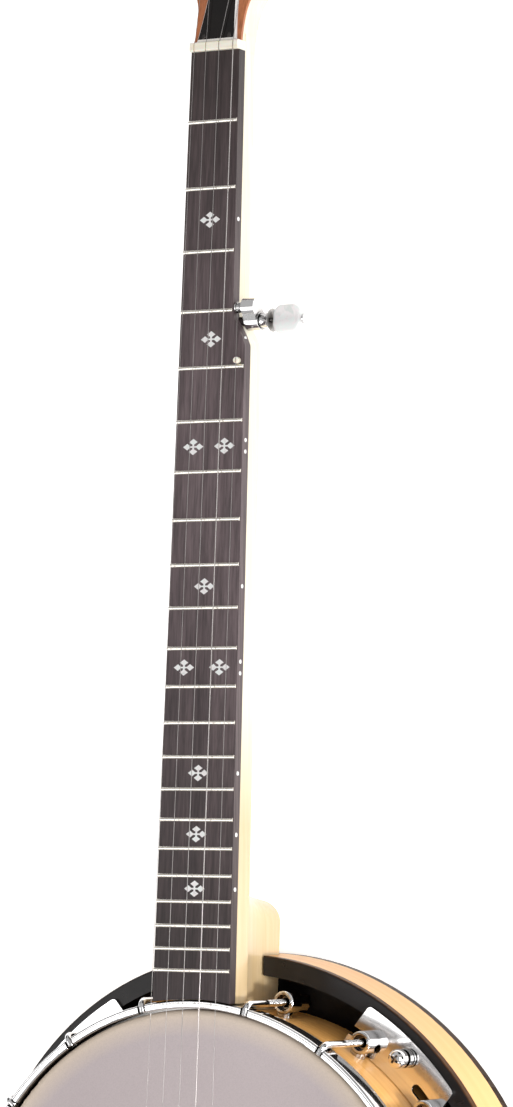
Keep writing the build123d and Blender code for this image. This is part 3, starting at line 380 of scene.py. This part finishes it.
def pearl(name, size, glow=0.0):
    """Pearl with soft pink and green clouds; glow is the share of light that scatters inside it."""
    material, tree, shader = new_material(name)
    point = place(tree)
    cloud = noise(tree, point, size, 3.0, 0.6, 1.5)
    link(tree, ramp(tree, cloud, PEARL_STOPS), shader, "Base Color")
    link(tree, spread(tree, cloud, 0.16, 0.3), shader, "Roughness")
    bump(tree, shader, cloud, 0.06, 0.04 * MM)
    fix(shader, Coat_Weight=0.5, Coat_Roughness=0.06, Sheen_Weight=0.1)
    fix(shader, Subsurface_Weight=glow, Subsurface_Scale=10 * MM, Subsurface_Radius=(1, 1, 1))
    return material


def plastic(name, low, high, rough, gloss=0.3):
    """Moulded plastic with a fine surface."""
    material, tree, shader = new_material(name)
    point = place(tree)
    grain = noise(tree, point, 900.0, 2.0)
    cloud = noise(tree, point, 60.0, 3.0)
    link(tree, ramp(tree, cloud, ((0.3, low), (0.7, high))), shader, "Base Color")
    link(tree, spread(tree, cloud, rough[0], rough[1]), shader, "Roughness")
    bump(tree, shader, grain, 0.06, 0.03 * MM)
    fix(shader, Specular_IOR_Level=gloss)
    return material


def cover_plastic():
    """Black face over a white ply that shows on the bevel and the sides."""
    material, tree, shader = new_material("two_ply_plastic")
    point = place(tree)
    cloud = noise(tree, point, 120.0, 3.0)
    normal = add(tree, "NewGeometry").outputs["Normal"]
    facing = add(tree, "VectorMath", {0: normal, 1: PEG_NORMAL}, operation="DOT_PRODUCT")
    face = spread(tree, facing.outputs["Value"], 0.0, 1.0, 0.90, 0.94)
    white = ramp(tree, cloud, ((0.3, (0.86, 0.84, 0.82)), (0.7, (0.92, 0.90, 0.88))))
    black = ramp(tree, cloud, ((0.3, (0.006, 0.005, 0.005)), (0.7, (0.012, 0.009, 0.008))))
    link(tree, mix(tree, face, white, black), shader, "Base Color")
    link(tree, spread(tree, cloud, 0.18, 0.3), shader, "Roughness")
    bump(tree, shader, noise(tree, point, 700.0), 0.05, 0.03 * MM)
    fix(shader, Specular_IOR_Level=0.3)
    return material


# ---------------------------------------------------------------- materials by node
# The polished and cast chrome carry painted shade in their corners and wells.
chrome = metal("polished_chrome", (0.84, 0.83, 0.83), (0.04, 0.06), painted_shade=0.8)
plate_chrome = metal("plate_chrome", (0.82, 0.81, 0.81), (0.09, 0.13))
cast_chrome = metal("cast_chrome", (0.82, 0.81, 0.82), (0.05, 0.09), painted_shade=0.6)
steel = metal("bright_steel", (0.52, 0.50, 0.48), (0.22, 0.34), 0.05)
screw_steel = metal("dark_screw_steel", (0.10, 0.09, 0.085), (0.22, 0.34))
aluminium = metal("turned_aluminium", (0.70, 0.70, 0.71), (0.25, 0.42), 0.1)
brass = metal("bell_brass", (0.80, 0.58, 0.24), (0.12, 0.26))
fret_metal = metal("fret_nickel", (0.93, 0.88, 0.80), (0.16, 0.28), 0.02, "x")
string_metal = metal("string_steel", (0.46, 0.43, 0.42), (0.34, 0.42), edge=0.0)
maple = two_tone_wood("neck_maple", (MAPLE, HEEL), NECK_DRIFT, pores=0.05)
amber = wood("rim_maple", AMBER, along="x", round_grain=True, pores=0.10, coat=0.25)
board_look = {"pores": 0.45, "rough": (0.36, 0.55), "coat": 0.0, "relief": 0.12 * MM}
board_wood = two_tone_wood("board_wood", (BOARD, BOARD_ENDS), BOARD_DRIFT, **board_look)
veneer_wood = wood("veneer_wood", VENEER, pores=0.25, coat=0.3)
bridge_maple = wood("bridge_maple", RAW_MAPLE, along="x", pores=0.15, rough=(0.45, 0.6), coat=0.0)
ebony = wood("ebony", EBONY, along="x", pores=0.3, rough=(0.3, 0.45), coat=0.0)
rear_band = plastic("dark_band", (0.016, 0.008, 0.004), (0.042, 0.020, 0.010), (0.22, 0.34), 0.06)
bone_material = bone()
inlay_pearl = pearl("inlay_pearl", 260.0)
button_pearl = pearl("button_pearl", 130.0, 0.7)

LOOKS = {
    "rim": amber,
    "tone_ring": brass,
    "drum_head": frosted_head(),
    "flesh_hoop": steel,
    "tension_hoop": chrome,
    "bracket_hooks": chrome,
    "bracket_shoes": chrome,
    "shoe_bolts": steel,
    "hook_nuts": chrome,
    "resonator_wall": resonator_wall_wood(),
    "resonator_front_binding": front_band(),
    "resonator_rear_binding": rear_band,
    "resonator_back": resonator_back_wood(),
    "resonator_lugs": bridge_maple,
    "resonator_screws": chrome,
    "resonator_washers": chrome,
    "coordinator_rod": aluminium,
    "hanger_bolts": steel,
    "rod_nuts": steel,
    "tailpiece_base": chrome,
    "tailpiece_lid": chrome,
    "tailpiece_hinge_pin": steel,
    "tailpiece_screw": chrome,
    "tailpiece_bolt": steel,
    "bridge": bridge_maple,
    "bridge_cap": ebony,
    "neck": maple,
    "fingerboard": board_wood,
    "frets": fret_metal,
    "fingerboard_inlays": inlay_pearl,
    "nut": bone_material,
    "fifth_string_nut": bone_material,
    "truss_rod": steel,
    "peghead_veneer": veneer_wood,
    "truss_rod_cover": cover_plastic(),
    "truss_cover_screws": screw_steel,
    "tuner_cases": cast_chrome,
    "tuner_bushings": chrome,
    "tuner_screws": steel,
    "fifth_peg_case": chrome,
    "fifth_peg_spool": chrome,
    "fifth_peg_shaft": chrome,
    "fifth_peg_button": button_pearl,
}
for number in range(1, 5):
    LOOKS[f"flange_plate_{number}"] = plate_chrome
    LOOKS[f"tuner_post_{number}"] = cast_chrome
    LOOKS[f"tuner_button_{number}"] = cast_chrome
for number in range(1, 6):
    LOOKS[f"string_{number}"] = wound_string() if number == 4 else string_metal


def paint_nodes():
    """Give every CAD node its material."""
    for name, material in LOOKS.items():
        mesh = nodes[name].data
        mesh.materials.clear()
        mesh.materials.append(material)


# ---------------------------------------------------------------- pieces
def new_object(name, made, material):
    """Turn a finished bmesh into an object of the scene."""
    mesh = bpy.data.meshes.new(name)
    made.to_mesh(mesh)
    made.free()
    mesh.materials.append(material)
    item = bpy.data.objects.new(name, mesh)
    bpy.context.scene.collection.objects.link(item)
    return item


def new_piece(name, made, material, body):
    """Turn a finished bmesh into a piece that rides on a body."""
    piece = new_object(name, made, material)
    piece.data.shade_smooth()
    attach(piece, body)


def add_thread(made, centre):
    """Add one V-shaped helical ridge, faded in and out, about a vertical line to the bmesh."""
    length = THREAD_TOP - THREAD_BOTTOM
    rows = []
    for step in range(round(length / THREAD_PITCH * THREAD_STEPS) + 1):
        angle = 2 * math.pi * step / THREAD_STEPS
        height = THREAD_BOTTOM + THREAD_PITCH * step / THREAD_STEPS
        ease = max(0.02, min(1.0, step / THREAD_STEPS, (THREAD_TOP - height) / THREAD_PITCH))
        crest = THREAD_CORE + (THREAD_CREST - THREAD_CORE) * ease
        row = []
        for radius, rise in ((THREAD_CORE, -0.45), (crest, 0.0), (THREAD_CORE, 0.45)):
            x = centre[0] + radius * math.cos(angle)
            y = centre[1] + radius * math.sin(angle)
            row.append(made.verts.new((x, y, height + rise * THREAD_PITCH)))
        rows.append(row)
    for low, high in zip(rows, rows[1:]):
        for near, far in ((0, 1), (1, 2), (2, 0)):
            made.faces.new((low[near], high[near], high[far], low[far]))
    made.faces.new(rows[0])
    made.faces.new(rows[-1][::-1])


def make_hook_threads():
    """Rolled threads on the hooks, from the plain shank down into the shoes."""
    made = bmesh.new()
    for number in range(HOOKS_A_SIDE):
        for side in (1, -1):
            angle = math.radians(side * (HOOK_FIRST + HOOK_STEP * number))
            add_thread(made, (HOOK_R * math.sin(angle), HOOK_R * math.cos(angle)))
    bmesh.ops.recalc_face_normals(made, faces=made.faces)
    new_piece("hook_threads", made, chrome, "banjo")


# ---------------------------------------------------------------- studio
def make_floor():
    """Plain white floor, a little self-lit so that it stays pale all over."""
    made = bmesh.new()
    bmesh.ops.create_circle(made, cap_ends=True, segments=96, radius=FLOOR_R)
    material, _, shader = new_material("floor_white")
    fix(shader, Base_Color=(0.93, 0.93, 0.93, 1), Roughness=0.8)
    fix(shader, Emission_Color=(1, 1, 1, 1), Emission_Strength=0.6)
    floor = new_object("floor", made, material)


def make_card(name, centre):
    """Black card that only shows in reflections."""
    made = bmesh.new()
    bmesh.ops.create_grid(made, x_segments=1, y_segments=1, size=0.5)
    material, _, shader = new_material(name + "_black")
    fix(shader, Base_Color=(0.002, 0.002, 0.002, 1), Roughness=1.0, Specular_IOR_Level=0.0)
    card = new_object(name, made, material)
    card.scale = (*CARD_SIZE, 1)
    card.location = centre
    card.rotation_euler = (-Vector(centre)).to_track_quat("Z", "Y").to_euler()
    card.visible_camera = False
    card.visible_diffuse = False
    card.visible_shadow = False


def hang_light(light, centre, aim):
    """Put a light in the scene, turned to what it lights."""
    lamp = bpy.data.objects.new(light.name, light)
    bpy.context.scene.collection.objects.link(lamp)
    lamp.location = centre
    lamp.rotation_euler = (Vector(aim) - Vector(centre)).to_track_quat("-Z", "Y").to_euler()


def make_soft_light(name, centre, aim, size, watts):
    """Soft rectangular light."""
    light = bpy.data.lights.new(name, "AREA")
    light.shape = "RECTANGLE"
    light.size, light.size_y = size
    light.energy = watts
    hang_light(light, centre, aim)


def make_edge_spot():
    """Soft-edged spot that brightens the resonator's side on the right."""
    light = bpy.data.lights.new("edge", "SPOT")
    light.spot_size = math.radians(EDGE_CONE)
    light.spot_blend = 1.0
    light.shadow_soft_size = EDGE_SOFTNESS
    light.energy = EDGE_WATTS
    hang_light(light, EDGE_PLACE, EDGE_AIM)


def make_world():
    """Even white surroundings."""
    world = bpy.data.worlds.new("studio")
    bpy.context.scene.world = world
    world.use_nodes = True
    background = world.node_tree.nodes["Background"]
    background.inputs["Color"].default_value = (1, 1, 1, 1)
    background.inputs["Strength"].default_value = WORLD_LIGHT


def make_studio():
    """World, floor, lights and reflection cards."""
    bpy.context.scene.view_settings.view_transform = "Standard"
    make_world()
    make_floor()
    for settings in LIGHTS:
        make_soft_light(*settings)
    make_edge_spot()
    for number, angle in enumerate(CARD_ANGLES):
        turn = math.radians(angle)
        make_card(f"card_{number}", (CARD_R * math.cos(turn), CARD_R * math.sin(turn), CARD_Z))


def make_camera():
    """Camera at the photograph's viewing angle, looking down on the upper pot and the neck."""
    back = CAMERA_BACK.normalized()
    right = CAMERA_UP.cross(back).normalized()
    up = back.cross(right)
    data = bpy.data.cameras.new("camera")
    data.lens = CAMERA_LENS
    data.clip_end = 50
    camera = bpy.data.objects.new("camera", data)
    bpy.context.scene.collection.objects.link(camera)
    turn = Matrix((right, up, back)).transposed().to_4x4()
    camera.matrix_world = Matrix.Translation(CAMERA_AIM + CAMERA_DISTANCE * back) @ turn
    bpy.context.scene.camera = camera


paint_nodes()
make_hook_threads()
make_studio()
make_camera()
